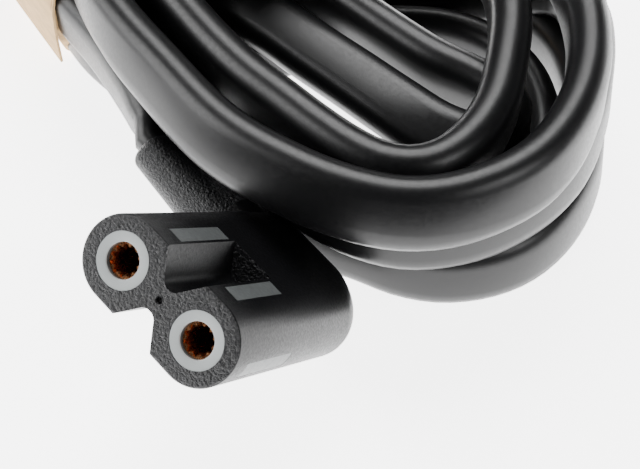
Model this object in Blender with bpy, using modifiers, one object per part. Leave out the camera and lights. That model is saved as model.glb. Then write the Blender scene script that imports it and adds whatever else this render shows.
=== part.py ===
"""Power cord: a right-angled two-pole connector, a flat lead wound into a banded hank, and a flat plug.

Metres, +Z up. The floor is z = 0. The origin is on the floor under the middle of the connector.
The connector is modelled upright in its own frame (X across its two bores, Y into the body from the
face, Z across its thickness) and then turned as it lies. The hank, band and plug follow the band's axis.
"""

import math

import bmesh
import bpy
from mathutils import Euler, Matrix, Vector

MM = 0.001
CLEARANCE = 0.3 * MM

# Connector overmould
BORE_PITCH = 8.6 * MM
LOBE_RADIUS = 3.62 * MM
BODY_DEPTH = 27.8 * MM
REAR_CORNER_RADIUS = 5.5 * MM
REAR_EDGE_RADIUS = 1.2 * MM
NOTCH_HALF_WIDTH = 2.2 * MM
NOTCH_FLOOR = 1.15 * MM
NOTCH_FLOOR_HALF_WIDTH = 0.75 * MM
NOTCH_LENGTH = 11.5 * MM
NOTCH_FLOOR_RISE = 0.5 * MM
DIMPLE_RADIUS = 0.28 * MM
DIMPLE_DEPTH = 0.3 * MM

# Strain relief, which leaves the body sideways at its rear
RELIEF_REACH = 18.7 * MM
RELIEF_HALF_WIDTH = 3.6 * MM
RELIEF_TIP_HALF_THICKNESS = 2.1 * MM
RELIEF_ROOT_HALF_THICKNESS = 3.45 * MM
RELIEF_TIP_ROUNDING = 0.8 * MM
RELIEF_SQUARENESS = 0.75
RELIEF_SETBACK = 0.2 * MM

# Insert and contacts
RING_RADIUS = 2.3 * MM
BORE_RADIUS = 1.45 * MM
BORE_ENTRY = 3.2 * MM
SOCKET_WALL = 0.55 * MM
INSERT_DEPTH = 13.0 * MM
INSERT_END_WALL = 1.0 * MM
WEB_HALF_THICKNESS = 0.4 * MM
WEB_FRONT = 2.4 * MM
WEB_BACK = 12.5 * MM
WINDOW_FRONT = 2.46 * MM
WINDOW_LENGTH = 8.36 * MM
WINDOW_INNER_EDGE = 2.5 * MM
WINDOW_WIDTH = 1.45 * MM
CONTACT_WALL = 0.25 * MM
CONTACT_SLIT = 0.4 * MM
CONTACT_BACK_WALL = 1.0 * MM

# How the connector lies: nose up, rolled and turned, resting on its rear corner
CONNECTOR_NOSE_UP = math.radians(44.2)
CONNECTOR_ROLL = math.radians(19.8)
CONNECTOR_HEADING = math.radians(-31.4)

# Cord: flat and oval; its free stretches are drawn as round tubes
CORD_WIDTH = 6.6 * MM
CORD_THICKNESS = 4.0 * MM
CORD_TUBE_RADIUS = 1.9 * MM

# Hank: three layers of cord standing on edge, one on another
LAYER_HEIGHT = 6.4 * MM
LAYER_OVERLAP = 0.1 * MM
WAIST = Vector((-16.3 * MM, 46.7 * MM, 0.0))
WAIST_HEADING = math.radians(32.0)
WAIST_LENGTH = 24.0 * MM
WAIST_MIDDLE_ROW = 9.7 * MM
WAIST_ROW_PITCH = 5.75 * MM
WAIST_COLUMN_PITCH = 3.9 * MM
WAIST_GAP = 0.5 * MM

# Band round the waist
BAND_WIDTH = 18.0 * MM
BAND_THICKNESS = 0.35 * MM

# Plug
PLUG_ALONG = 50.0 * MM
PLUG_ASIDE = -23.0 * MM
PLUG_LENGTH = 35.5 * MM
PLUG_SHOULDER = 19.5 * MM
PLUG_WIDTH = 26.0 * MM
PLUG_WAIST_WIDTH = 15.0 * MM
PLUG_THICKNESS = 13.7 * MM
PLUG_EDGE_RADIUS = 2.2 * MM
PLUG_RELIEF_LENGTH = 18.0 * MM
PLUG_RELIEF_ROOT_RADIUS = 4.6 * MM
PLUG_RELIEF_TIP_RADIUS = 3.6 * MM
PLUG_RELIEF_BURIED = 4.0 * MM
PIN_PITCH = 18.6 * MM
PIN_RADIUS = 2.0 * MM
PIN_LENGTH = 19.0 * MM
PIN_SOCKET_DEPTH = 8.0 * MM
SLEEVE_LENGTH = 10.0 * MM
SLEEVE_RADIUS = 1.9 * MM
SLEEVE_CORE_RADIUS = 1.2 * MM

ROUND_SEGMENTS = 40
REAR_STEPS = 8
CUTTER_OVERRUN = 1.0 * MM

# The lead's route from the strain relief to the band, after its first point on the relief's tip
LEAD_ROUTE = [
    (-9.9, 17.5, 10.1),
    (-10.1, 19.9, 10.0),
    (-10.8, 22.6, 9.9),
    (-13.1, 27.0, 9.9),
]
LEAD_END_ASIDE = -8.5 * MM

# The tail's route from the band to the plug, between its two ends: along and aside from the waist, and up
TAIL_ROUTE = [
    (17.0, -8.8, 14.4),
    (22.0, -13.4, 11.2),
    (26.4, -18.4, 8.0),
]
TAIL_START_ASIDE = -6.9 * MM

# The near loops of the cord, in millimetres, from the band's left side round to its right side
BOTTOM_OUTER = [
    (-13.1, 32.2), (-8.9, 27.7), (-4.5, 21.1), (0.7, 15.4), (5.2, 12.5), (9.2, 10.4), (12.2, 8.1), (15.6, 6.1),
    (19.6, 5.4), (24.0, 6.2), (27.8, 8.4), (31.0, 12.2), (33.5, 17.4), (34.7, 23.5), (34.8, 30.0), (33.3, 36.4),
    (29.8, 41.6), (24.3, 45.3), (17.5, 46.8), (10.5, 46.4), (4.0, 44.4), (-0.8, 42.4),
]
BOTTOM_INNER = [
    (-9.6, 34.4), (-5.2, 29.6), (-0.8, 23.2), (3.9, 16.9), (7.6, 13.4), (11.5, 11.0), (15.5, 10.0), (19.6, 9.9),
    (23.3, 11.2), (25.4, 14.2), (24.6, 17.8), (21.4, 20.2), (17.8, 22.6), (14.5, 26.3), (11.0, 29.9),
    (7.0, 33.4), (2.6, 35.4), (-2.2, 35.8), (-6.4, 36.0), (-9.4, 37.4),
]
MIDDLE_OUTER = [
    (-11.4, 33.3), (-8.1, 28.2), (-3.9, 21.5), (1.4, 15.7), (5.8, 12.1), (9.3, 8.6), (12.1, 5.9), (15.4, 4.5),
    (19.0, 4.6), (22.8, 5.9), (26.6, 8.4), (29.6, 11.5), (31.7, 15.0), (33.4, 19.2), (34.6, 23.8), (35.4, 29.0),
    (35.3, 33.6), (33.8, 38.2), (29.9, 40.6), (24.6, 42.3), (18.6, 42.9), (12.4, 42.5), (6.4, 40.8),
    (0.6, 38.9), (-4.4, 38.5),
]
MIDDLE_INNER = [
    (-4.3, 39.9), (-0.3, 37.8), (4.2, 33.9), (7.9, 29.9), (11.4, 26.2), (15.2, 22.2), (18.8, 18.9), (22.4, 16.8),
    (25.9, 16.6), (28.6, 18.9), (29.0, 22.3), (26.7, 24.9), (23.1, 27.3), (19.4, 30.6), (15.8, 34.2),
    (11.4, 38.0), (6.2, 40.9), (1.2, 42.4), (-2.6, 43.0),
]
TOP_INNER = [
    (-10.3, 33.9), (-7.5, 29.8), (-4.8, 25.6), (-1.9, 21.2), (1.1, 17.3), (4.4, 13.8), (7.4, 10.6), (10.4, 7.8),
    (13.2, 6.0), (16.0, 5.6), (18.5, 6.6), (20.8, 8.8), (22.6, 11.6), (23.9, 14.8), (25.0, 19.4), (25.8, 24.0),
    (26.0, 28.2), (25.6, 32.4), (23.9, 36.2), (20.4, 38.9), (16.0, 39.7), (11.5, 38.6), (6.6, 36.3),
    (0.7, 34.6), (-5.2, 36.0),
]
TOP_OUTER = [
    (-14.9, 31.7), (-13.0, 27.6), (-10.5, 23.2), (-7.2, 18.3), (-3.2, 12.6), (0.0, 9.1), (3.5, 6.4), (7.5, 3.9),
    (11.5, 2.2), (15.0, 1.5), (18.5, 1.8), (22.0, 3.1), (25.2, 5.1), (27.7, 7.6), (29.8, 10.9), (31.5, 14.8),
    (32.6, 19.0), (33.2, 23.5), (33.1, 28.0), (32.4, 33.0), (30.0, 37.8), (26.0, 41.4), (20.8, 43.3),
    (15.2, 43.2), (9.8, 41.6), (4.6, 39.6), (-0.2, 38.6), (-3.8, 39.8),
]

# The far loops, in millimetres along and aside from the waist, from its left side round to its right side
FAR_BOTTOM_OUTER = [
    (14.0, -9.0), (21.0, -9.8), (29.0, -9.9), (37.0, -9.0), (44.5, -6.0), (51.0, -0.6), (55.3, 6.8), (56.4, 15.2),
    (54.4, 23.4), (49.4, 30.0), (42.2, 33.6), (34.4, 33.6), (27.2, 30.2), (21.4, 24.6), (17.8, 17.8),
    (16.2, 11.6), (13.2, 7.4),
]
FAR_BOTTOM_INNER = [
    (14.0, -1.4), (21.0, -0.8), (29.0, -3.4), (37.0, -4.4), (43.4, -2.2), (48.6, 2.4), (51.6, 8.4), (52.3, 15.2),
    (50.5, 21.6), (46.5, 26.7), (40.9, 29.3), (34.8, 29.1), (29.2, 26.2), (24.6, 21.4), (21.2, 15.2),
    (18.6, 8.8), (14.4, 3.6),
]
FAR_MIDDLE_OUTER = [
    (14.0, -5.4), (21.0, -4.9), (29.0, -6.0), (37.0, -7.4), (44.3, -4.8), (50.3, 0.2), (54.4, 7.2), (55.5, 15.2),
    (53.6, 22.9), (48.8, 29.2), (42.0, 32.7), (34.6, 32.7), (27.8, 29.4), (22.2, 24.0), (18.4, 17.4),
    (16.4, 12.6), (13.4, 9.2),
]
FAR_MIDDLE_INNER = [
    (14.0, -2.6), (21.0, -1.0), (29.0, -1.8), (37.0, -2.9), (43.0, -0.9), (47.7, 3.2), (50.6, 8.8), (51.3, 15.2),
    (49.6, 21.2), (45.8, 26.0), (40.4, 28.4), (34.8, 28.2), (29.6, 25.4), (25.2, 20.8), (21.8, 15.0),
    (19.0, 9.4), (14.6, 5.2),
]
FAR_TOP_OUTER = [
    (14.0, -0.8), (21.0, -3.2), (29.0, -5.2), (37.0, -6.6), (43.8, -4.4), (49.4, 0.6), (53.4, 7.4), (54.6, 15.2),
    (52.8, 22.6), (48.2, 28.6), (41.6, 32.0), (34.6, 31.9), (28.2, 28.8), (22.8, 23.6), (18.8, 17.2),
    (16.6, 11.8), (13.4, 7.6),
]
FAR_TOP_INNER = [
    (14.0, 1.6), (21.0, 2.6), (29.0, 0.6), (37.0, -2.2), (42.8, -0.4), (47.2, 3.6), (50.0, 9.0), (50.6, 15.2),
    (49.0, 20.9), (45.2, 25.6), (40.0, 28.0), (34.8, 27.8), (29.8, 25.0), (25.4, 20.4), (21.8, 14.4),
    (18.8, 8.4), (14.4, 3.4),
]


def plastic(name, colour, roughness):
    """A moulded plastic of one colour."""
    return surface(name, colour, roughness, 0.0)


def surface(name, colour, roughness, metallic):
    """A Principled material with the part's colour, roughness and metallic value."""
    material = bpy.data.materials.new(name)
    material.use_nodes = True
    shader = material.node_tree.nodes["Principled BSDF"]
    shader.inputs["Base Color"].default_value = (*colour, 1.0)
    shader.inputs["Roughness"].default_value = roughness
    shader.inputs["Metallic"].default_value = metallic
    material.diffuse_color = (*colour, 1.0)
    return material


def put_in(obj, collection, material=None):
    """Links an object into a collection, with its material."""
    collection.objects.link(obj)
    if material is not None:
        obj.data.materials.clear()
        obj.data.materials.append(material)
    return obj


def mesh_from(name, build):
    """A mesh made by a function that fills a bmesh."""
    mesh = bpy.data.meshes.new(name)
    shape = bmesh.new()
    build(shape)
    bmesh.ops.recalc_face_normals(shape, faces=shape.faces)
    shape.to_mesh(mesh)
    shape.free()
    return mesh


def welded_mesh(obj):
    """The evaluated mesh of a temporary object, with its loose caps welded; the object is removed."""
    scene_collection = bpy.context.scene.collection
    scene_collection.objects.link(obj)
    graph = bpy.context.evaluated_depsgraph_get()
    mesh = bpy.data.meshes.new_from_object(obj.evaluated_get(graph))
    mesh.transform(obj.matrix_world)
    shape = bmesh.new()
    shape.from_mesh(mesh)
    bmesh.ops.remove_doubles(shape, verts=shape.verts, dist=0.001 * MM)
    bmesh.ops.recalc_face_normals(shape, faces=shape.faces)
    shape.to_mesh(mesh)
    shape.free()
    bpy.data.objects.remove(obj)
    return mesh


def flat_mesh(name, outlines, thickness):
    """A flat outline, with the holes in it, given a thickness about the XY plane."""
    curve = bpy.data.curves.new(name, "CURVE")
    curve.dimensions = "2D"
    curve.fill_mode = "BOTH"
    curve.extrude = thickness / 2
    for outline in outlines:
        spline = curve.splines.new("POLY")
        spline.points.add(len(outline) - 1)
        for point, (x, y) in zip(spline.points, outline):
            point.co = (x, y, 0.0, 1.0)
        spline.use_cyclic_u = True
    return welded_mesh(bpy.data.objects.new(name, curve))


def turned_mesh(name, profile, ring=False):
    """A profile of (radius, height) points turned about Z, from axis to axis or as a closed ring."""
    count = len(profile)
    edges = [(i, (i + 1) % count) for i in range(count if ring else count - 1)]
    mesh = bpy.data.meshes.new(name)
    mesh.from_pydata([(radius, 0.0, height) for radius, height in profile], edges, [])
    obj = bpy.data.objects.new(name, mesh)
    screw = obj.modifiers.new("turn", "SCREW")
    screw.axis = "Z"
    screw.angle = math.tau
    screw.steps = ROUND_SEGMENTS
    screw.render_steps = ROUND_SEGMENTS
    screw.use_merge_vertices = True
    screw.merge_threshold = 0.001 * MM
    return welded_mesh(obj)


def lofted_mesh(name, sections):
    """A solid through like rings of points, one after another, with flat ends."""

    def build(shape):
        loops = []
        for ring in sections:
            verts = [shape.verts.new(point) for point in ring]
            edges = [shape.edges.new(pair) for pair in zip(verts, verts[1:] + verts[:1])]
            loops.append(edges)
        for near, far in zip(loops, loops[1:]):
            bmesh.ops.bridge_loops(shape, edges=near + far)
        for edges in (loops[0], loops[-1]):
            bmesh.ops.contextual_create(shape, geom=edges)

    return mesh_from(name, build)


def box_mesh(name, low, high):
    """A box between two corners."""
    size = Vector(high) - Vector(low)
    middle = (Vector(high) + Vector(low)) / 2
    place = Matrix.Translation(middle) @ Matrix.Diagonal((*size, 1.0))

    def build(shape):
        bmesh.ops.create_cube(shape, size=1.0, matrix=place)

    return mesh_from(name, build)


def arc(centre, radius, start, end, steps):
    """Points on an arc in the plane, both ends included, angles in degrees."""
    points = []
    for step in range(steps + 1):
        angle = math.radians(start + (end - start) * step / steps)
        points.append((centre[0] + radius * math.cos(angle), centre[1] + radius * math.sin(angle)))
    return points


def rounding_inset(distance, radius):
    """How far a rounded edge draws a side in, at this distance from the end that it leads to."""
    if distance >= radius:
        return 0.0
    return radius - math.sqrt(radius ** 2 - (radius - distance) ** 2)


def closed_curve(points, steps):
    """Points on the smooth closed curve through the given points (Catmull-Rom)."""
    count = len(points)
    found = []
    for i in range(count):
        before, start, end, after = (Vector(points[(i + k) % count]) for k in (-1, 0, 1, 2))
        for step in range(steps):
            t = step / steps
            found.append(
                0.5 * (2 * start + (end - before) * t
                       + (2 * before - 5 * start + 4 * end - after) * t ** 2
                       + (3 * start - before - 3 * end + after) * t ** 3)
            )
    return found


def open_curve(points, spacing):
    """Points about one spacing apart on the smooth open curve through the given points."""
    padded = [2 * points[0] - points[1], *points, 2 * points[-1] - points[-2]]
    found = []
    for i in range(1, len(padded) - 2):
        before, start, end, after = padded[i - 1:i + 3]
        steps = max(1, round((end - start).length / spacing))
        for step in range(steps):
            t = step / steps
            found.append(
                0.5 * (2 * start + (end - before) * t
                       + (2 * before - 5 * start + 4 * end - after) * t ** 2
                       + (3 * start - before - 3 * end + after) * t ** 3)
            )
    found.append(points[-1])
    return found


def add_cutter(target, cutter_mesh, operation, guides):
    """Joins a mesh to an object, or cuts it away, by an exact Boolean with a hidden guide object."""
    cutter = put_in(bpy.data.objects.new(cutter_mesh.name + "_guide", cutter_mesh), guides)
    cutter.parent = target.parent
    cutter.hide_render = True
    cutter.display_type = "WIRE"
    modifier = target.modifiers.new(cutter_mesh.name, "BOOLEAN")
    modifier.operation = operation
    modifier.solver = "EXACT"
    modifier.object = cutter
    return cutter


def shade_round(obj):
    """Smooth shading with the real edges kept sharp."""
    obj.data.shade_smooth()
    obj.data.set_sharp_from_angle(angle=math.radians(35))


# Turns for shapes drawn flat: an outline in X and Z of the connector, and a turned piece along its Y
FACE_ON = Matrix.Rotation(math.radians(90), 4, "X")
INTO_BODY = Matrix.Rotation(math.radians(-90), 4, "X")


def notch_outline(side):
    """The rounded valley between the two lobes, on the side +1 or -1, running past the surface."""
    past = LOBE_RADIUS + CUTTER_OVERRUN
    slope = (NOTCH_HALF_WIDTH - NOTCH_FLOOR_HALF_WIDTH) / (LOBE_RADIUS - NOTCH_FLOOR - NOTCH_FLOOR_RISE)
    past_half_width = NOTCH_HALF_WIDTH + slope * (past - LOBE_RADIUS)
    right = [
        (past_half_width, past),
        (NOTCH_FLOOR_HALF_WIDTH * 1.13, NOTCH_FLOOR + NOTCH_FLOOR_RISE),
        (NOTCH_FLOOR_HALF_WIDTH * 0.73, NOTCH_FLOOR + NOTCH_FLOOR_RISE / 4),
        (NOTCH_FLOOR_HALF_WIDTH / 3, NOTCH_FLOOR),
    ]
    left = [(-x, z) for x, z in reversed(right)]
    return [(x, side * z) for x, z in right + left]


def relief_middle():
    """How deep behind the face the strain relief's middle lies."""
    return BODY_DEPTH - RELIEF_SETBACK - RELIEF_HALF_WIDTH


def relief_mesh():
    """The strain relief: a rounded flat section that thins from the body to its tip."""
    root = (RELIEF_HALF_WIDTH, RELIEF_ROOT_HALF_THICKNESS)
    tip = (RELIEF_HALF_WIDTH, RELIEF_TIP_HALF_THICKNESS)
    stations = [(-BORE_PITCH / 2, root), (-BORE_PITCH / 2 - LOBE_RADIUS, root)]
    for degrees in (0, 30, 60, 90):
        inset = RELIEF_TIP_ROUNDING * (1 - math.cos(math.radians(degrees)))
        x = -RELIEF_REACH + RELIEF_TIP_ROUNDING * (1 - math.sin(math.radians(degrees)))
        stations.append((x, (tip[0] - inset, tip[1] - inset)))
    middle = relief_middle()
    sections = []
    for x, (half_width, half_thickness) in stations:
        ring = []
        for across, up in arc((0, 0), 1.0, 0, 360 - 360 / ROUND_SEGMENTS, ROUND_SEGMENTS - 1):
            squared_across = math.copysign(abs(across) ** RELIEF_SQUARENESS, across)
            squared_up = math.copysign(abs(up) ** RELIEF_SQUARENESS, up)
            ring.append((x, middle + squared_across * half_width, squared_up * half_thickness))
        sections.append(ring)
    return lofted_mesh("strain_relief", sections)


def body_mesh():
    """The overmould without its cuts: a stadium section whose rear is rounded, most at the outer corner."""
    end = BORE_PITCH / 2 + LOBE_RADIUS
    depths = [0.0]
    for step in range(REAR_STEPS + 1):
        depths.append(BODY_DEPTH - REAR_CORNER_RADIUS * (1 - math.sin(math.radians(step * 90 / REAR_STEPS))))
    sections = []
    for depth in depths:
        edge_inset = rounding_inset(BODY_DEPTH - depth, REAR_EDGE_RADIUS)
        corner_inset = rounding_inset(BODY_DEPTH - depth, REAR_CORNER_RADIUS)
        half = LOBE_RADIUS - edge_inset
        outline = arc((end - corner_inset - half, 0.0), half, -90, 90, 20)
        outline += arc((half + edge_inset - end, 0.0), half, 90, 270, 20)
        sections.append([(x, depth, z) for x, z in outline])
    return lofted_mesh("overmould", sections)


def window_boxes(grow):
    """The blocks of the insert that reach the body's surface, four on the flats and two on the ends."""
    front = WINDOW_FRONT - grow
    back = WINDOW_FRONT + WINDOW_LENGTH + grow
    inner = WINDOW_INNER_EDGE - grow
    outer = WINDOW_INNER_EDGE + WINDOW_WIDTH + grow
    surface_height = LOBE_RADIUS + (0 if grow == 0 else CUTTER_OVERRUN)
    end = BORE_PITCH / 2 + LOBE_RADIUS + (0 if grow == 0 else CUTTER_OVERRUN)
    half = WINDOW_WIDTH / 2 + grow
    buried = (RING_RADIUS + BORE_RADIUS) / 2
    boxes = []
    for side in (-1, 1):
        low, high = sorted((side * inner, side * outer))
        for up in (-1, 1):
            bottom, top = sorted((up * buried, up * surface_height))
            boxes.append(box_mesh("window", (low, front, bottom), (high, back, top)))
        near, far = sorted((side * (BORE_PITCH / 2 + buried), side * end))
        boxes.append(box_mesh("end_window", (near, front, -half), (far, back, half)))
    return boxes


def web_box(grow):
    """The bar of the insert that joins its two tubes inside the body."""
    reach = BORE_PITCH / 2 - BORE_RADIUS - SOCKET_WALL
    half = WEB_HALF_THICKNESS + grow
    return box_mesh("web", (-reach, WEB_FRONT - grow, -half), (reach, WEB_BACK + grow, half))


def bore_centres():
    """Where the two bores stand on the face."""
    return [-BORE_PITCH / 2, BORE_PITCH / 2]


def build_connector_body(parts, guides, place, material):
    """The overmould and its strain relief, cut for the insert, the notches and the gate dimple."""
    body = put_in(bpy.data.objects.new("connector_body", body_mesh()), parts, material)
    body.parent = place

    for side, name in ((1, "upper_notch"), (-1, "lower_notch")):
        notch = flat_mesh(name, [notch_outline(side)], NOTCH_LENGTH + CUTTER_OVERRUN)
        notch.transform(Matrix.Translation((0, (NOTCH_LENGTH - CUTTER_OVERRUN) / 2, 0)) @ FACE_ON)
        add_cutter(body, notch, "DIFFERENCE", guides)

    seat_radius = RING_RADIUS + CLEARANCE
    seat_depth = INSERT_DEPTH + CLEARANCE
    for x in bore_centres():
        seat = turned_mesh("insert_seat", [(0, seat_depth), (seat_radius, seat_depth),
                                           (seat_radius, -CUTTER_OVERRUN), (0, -CUTTER_OVERRUN)])
        seat.transform(Matrix.Translation((x, 0, 0)) @ INTO_BODY)
        add_cutter(body, seat, "DIFFERENCE", guides)
    add_cutter(body, web_box(CLEARANCE), "DIFFERENCE", guides)
    for box in window_boxes(CLEARANCE):
        add_cutter(body, box, "DIFFERENCE", guides)
    dimple = turned_mesh("dimple", [(0, DIMPLE_DEPTH), (DIMPLE_RADIUS, DIMPLE_DEPTH),
                                    (DIMPLE_RADIUS, -CUTTER_OVERRUN), (0, -CUTTER_OVERRUN)])
    dimple.transform(INTO_BODY)
    add_cutter(body, dimple, "DIFFERENCE", guides)

    add_cutter(body, relief_mesh(), "UNION", guides)

    return body


def build_insert(parts, guides, place, material):
    """The light core: two socket tubes, the web between them and the blocks that show as windows."""
    pocket_radius = RING_RADIUS - SOCKET_WALL
    pocket_end = INSERT_DEPTH - INSERT_END_WALL
    profile = [
        (0, INSERT_DEPTH), (RING_RADIUS, INSERT_DEPTH), (RING_RADIUS, 0), (BORE_RADIUS, 0),
        (BORE_RADIUS, BORE_ENTRY), (pocket_radius, BORE_ENTRY), (pocket_radius, pocket_end), (0, pocket_end),
    ]
    tubes = []
    for x in bore_centres():
        tube = turned_mesh("socket_tube", profile)
        tube.transform(Matrix.Translation((x, 0, 0)) @ INTO_BODY)
        tubes.append(tube)
    insert = put_in(bpy.data.objects.new("connector_insert", tubes[0]), parts, material)
    insert.parent = place
    add_cutter(insert, web_box(0), "UNION", guides)
    add_cutter(insert, tubes[1], "UNION", guides)
    for box in window_boxes(0):
        add_cutter(insert, box, "UNION", guides)
    return insert


def build_contact(parts, guides, place, number, x, material):
    """A slit spring sleeve, closed at its back, in the pocket behind the bore."""
    front = BORE_ENTRY + CLEARANCE
    back = INSERT_DEPTH - INSERT_END_WALL - CLEARANCE
    outer = RING_RADIUS - SOCKET_WALL - CLEARANCE
    inner = outer - CONTACT_WALL
    floor = back - CONTACT_BACK_WALL
    profile = [(0, back), (outer, back), (outer, front), (inner, front), (inner, floor), (0, floor)]
    sleeve = turned_mesh("sleeve", profile)
    sleeve.transform(Matrix.Translation((x, 0, 0)) @ INTO_BODY)
    contact = put_in(bpy.data.objects.new(f"contact_{number}", sleeve), parts, material)
    contact.parent = place
    half = CONTACT_SLIT / 2
    low = (x - half, front - CUTTER_OVERRUN, 0)
    high = (x + half, floor - CONTACT_BACK_WALL, outer + CUTTER_OVERRUN)
    slit = box_mesh("slit", low, high)
    add_cutter(contact, slit, "DIFFERENCE", guides)
    return contact


def rest_on_floor(place, objects):
    """Moves the connector so that its lowest point is on the floor and its box is centred on the origin."""
    bpy.context.view_layer.update()
    graph = bpy.context.evaluated_depsgraph_get()
    corners = []
    for obj in objects:
        seen = obj.evaluated_get(graph)
        corners += [seen.matrix_world @ vertex.co for vertex in seen.data.vertices]
    low = Vector([min(corner[axis] for corner in corners) for axis in range(3)])
    high = Vector([max(corner[axis] for corner in corners) for axis in range(3)])
    place.location -= Vector(((low.x + high.x) / 2, (low.y + high.y) / 2, low.z))
    bpy.context.view_layer.update()


def along_waist(along, aside, height):
    """A point by its distance along the band's axis, its distance to the right of it and its height."""
    forward = Vector((-math.sin(WAIST_HEADING), math.cos(WAIST_HEADING), 0.0))
    right = Vector((math.cos(WAIST_HEADING), math.sin(WAIST_HEADING), 0.0))
    point = WAIST + forward * along + right * aside
    point.z = height
    return point


def waist_section(grow):
    """The outline of thirteen crossings, four, five and four abreast: aside from the axis and up."""
    flat = CORD_WIDTH / 2 - CORD_THICKNESS / 2
    radius = CORD_THICKNESS / 2 + grow
    middle = 2 * WAIST_COLUMN_PITCH
    outer = 1.5 * WAIST_COLUMN_PITCH
    low = WAIST_MIDDLE_ROW - WAIST_ROW_PITCH - flat
    high = WAIST_MIDDLE_ROW + WAIST_ROW_PITCH + flat
    slope = math.degrees(math.atan2(middle - outer, high - WAIST_MIDDLE_ROW - flat))
    right = arc((outer, low), radius, -90, -slope, 8)
    right += arc((middle, WAIST_MIDDLE_ROW - flat), radius, -slope, 0, 2)
    right += arc((middle, WAIST_MIDDLE_ROW + flat), radius, 0, slope, 2)
    right += arc((outer, high), radius, slope, 90, 8)
    return right + [(-x, z) for x, z in reversed(right)]


def waist_mesh(name, half_length, grow):
    """A solid of the waist's section along the band's axis."""
    outline = waist_section(grow)
    ends = [[along_waist(along, x, z) for x, z in outline] for along in (-half_length, half_length)]
    return lofted_mesh(name, ends)


def beside(points, distance):
    """A line at a distance to the left of an open line of points."""
    found = []
    for i, point in enumerate(points):
        ahead = points[min(i + 1, len(points) - 1)]
        behind = points[max(i - 1, 0)]
        along = (ahead - behind).normalized()
        found.append(point + Vector((-along.y, along.x)) * distance)
    return found


def layer_mesh(name, outlines, layer):
    """One layer of a loop, one cord width high, from its outlines."""
    bottom = layer * LAYER_HEIGHT - (LAYER_OVERLAP if layer else 0)
    top = (layer + 1) * LAYER_HEIGHT
    mesh = flat_mesh(name, [closed_curve(points, 3) for points in outlines], top - bottom)
    mesh.transform(Matrix.Translation((0, 0, (top + bottom) / 2)))
    return mesh


def loop_outlines(outer, inner, turn, end):
    """The outer edge and the opening of one layer of a loop.

    The loops' lines run with their opening on the left where turn is 1, and on the right where it is -1.
    The outer edge is closed across the waist, at its end that lies at the distance end along the axis.
    """
    half = CORD_THICKNESS / 2
    mouth = [along_waist(end, aside, 0.0).xy for aside in (3 * half, -3 * half)]
    edge = beside(outer, -turn * half) + mouth
    opening = beside(inner[1:-2], turn * half)
    return [edge, opening]


def build_hank(parts, guides, material):
    """The wound cord as one solid: a waist inside the band and two loops of three layers each."""
    waist = waist_mesh("waist", WAIST_LENGTH / 2, 0.0)
    hank = put_in(bpy.data.objects.new("cord_hank", waist), parts, material)
    near_end = -BAND_WIDTH / 2 - WAIST_GAP
    near_layers = [(BOTTOM_OUTER, BOTTOM_INNER), (MIDDLE_OUTER, MIDDLE_OUTER), (TOP_OUTER, TOP_INNER)]
    for layer, loops in enumerate(near_layers):
        outer, inner = ([Vector(point) * MM for point in loop] for loop in loops)
        outlines = loop_outlines(outer, inner, 1, near_end)
        add_cutter(hank, layer_mesh(f"near_layer_{layer + 1}", outlines, layer), "UNION", guides)
    folded = beside([Vector(point) * MM for point in MIDDLE_INNER[1:-2]], -CORD_THICKNESS / 2)
    add_cutter(hank, layer_mesh("folded_loop", [folded], 1), "UNION", guides)
    far_layers = [(FAR_BOTTOM_OUTER, FAR_BOTTOM_INNER), (FAR_MIDDLE_OUTER, FAR_MIDDLE_INNER),
                  (FAR_TOP_OUTER, FAR_TOP_INNER)]
    for layer, loops in enumerate(far_layers):
        outer, inner = ([along_waist(along * MM, aside * MM, 0.0).xy for along, aside in loop] for loop in loops)
        outlines = loop_outlines(outer, inner, -1, -near_end)
        add_cutter(hank, layer_mesh(f"far_layer_{layer + 1}", outlines, layer), "UNION", guides)
    return hank


def build_band(parts, guides, material):
    """The paper band: a thin sleeve round the waist."""
    half = BAND_WIDTH / 2
    sleeve = waist_mesh("band_outside", half, CLEARANCE + BAND_THICKNESS)
    band = put_in(bpy.data.objects.new("paper_band", sleeve), parts, material)
    add_cutter(band, waist_mesh("band_inside", half + CUTTER_OVERRUN, CLEARANCE), "DIFFERENCE", guides)
    return band


def build_cord_tube(parts, name, points, material):
    """A free stretch of the cord as a tube along a smooth curve through its points."""
    curve = bpy.data.curves.new(name, "CURVE")
    curve.dimensions = "3D"
    curve.bevel_depth = CORD_TUBE_RADIUS
    curve.bevel_resolution = 3
    curve.use_fill_caps = True
    route = open_curve(points, CORD_WIDTH / 2)
    spline = curve.splines.new("POLY")
    spline.points.add(len(route) - 1)
    for target, point in zip(spline.points, route):
        target.co = (*point, 1.0)
    return put_in(bpy.data.objects.new(name, curve), parts, material)


def relief_tip(place):
    """The middle of the strain relief's tip and the direction in which the cord leaves it."""
    tip = place.matrix_world @ Vector((-RELIEF_REACH - CLEARANCE, relief_middle(), 0))
    outward = (place.matrix_world.to_3x3() @ Vector((-1, 0, 0))).normalized()
    return tip, outward


def build_lead(parts, place, material):
    """The stretch between the strain relief and the waist of the hank."""
    tip, outward = relief_tip(place)
    last = -WAIST_LENGTH / 2 - CLEARANCE
    straight = [along_waist(last - reach, LEAD_END_ASIDE, WAIST_MIDDLE_ROW) for reach in (CORD_THICKNESS / 2, 0)]
    points = [tip, *(Vector(point) * MM for point in LEAD_ROUTE), *straight]
    return build_cord_tube(parts, "cord_lead", points, material)


def plug_matrix():
    """The plug's frame: Y towards the pins, Z up, its origin in the middle of its rear end."""
    place = along_waist(PLUG_ALONG, PLUG_ASIDE, PLUG_THICKNESS / 2)
    return Matrix.Translation(place) @ Matrix.Rotation(WAIST_HEADING, 4, "Z")


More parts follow.
